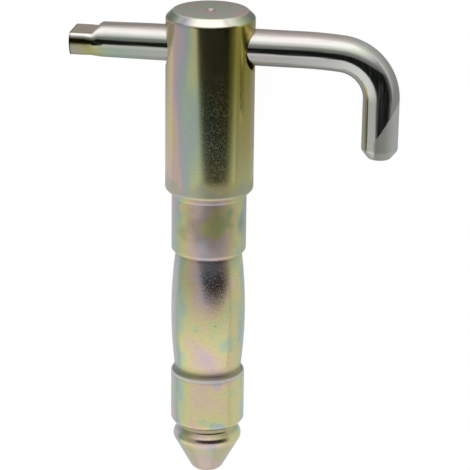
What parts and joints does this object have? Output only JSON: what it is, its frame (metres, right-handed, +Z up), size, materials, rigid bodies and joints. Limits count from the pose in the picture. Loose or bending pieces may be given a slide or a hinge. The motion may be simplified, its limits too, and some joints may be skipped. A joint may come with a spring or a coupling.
{
  "type": "support pin",
  "caption": "Turned steel support pin with a stepped shank, a latch groove behind its cone nose and a sliding bent bar handle through its head.",
  "frame": {"origin": "on the floor under the middle of the pin's outline as it lies, with its head's lower edge, its collar and the tip of the handle's leg on the floor", "axes": "+Z up; the pin lies along Y with its head to +Y and its nose to -Y, about 1.5 degrees lower at the nose; the handle's bent leg is on the +X side"},
  "size_m": [0.1081, 0.1634, 0.0309],
  "materials": {
    "pin_plating": "turned steel, yellow chromated zinc plate, satin",
    "handle_plating": "bright drawn bar, zinc plate, satin"
  },
  "bodies": {
    "pin": {"pin_body": "pin_plating"},
    "handle_bar": {"handle": "handle_plating"}
  },
  "joints": [
    {"name": "handle_slide", "type": "slide", "parent": "pin", "child": "handle_bar", "axis": [0.9868, 0.0043, -0.1621], "range_m": [-0.0315, 0.023]}
  ]
}
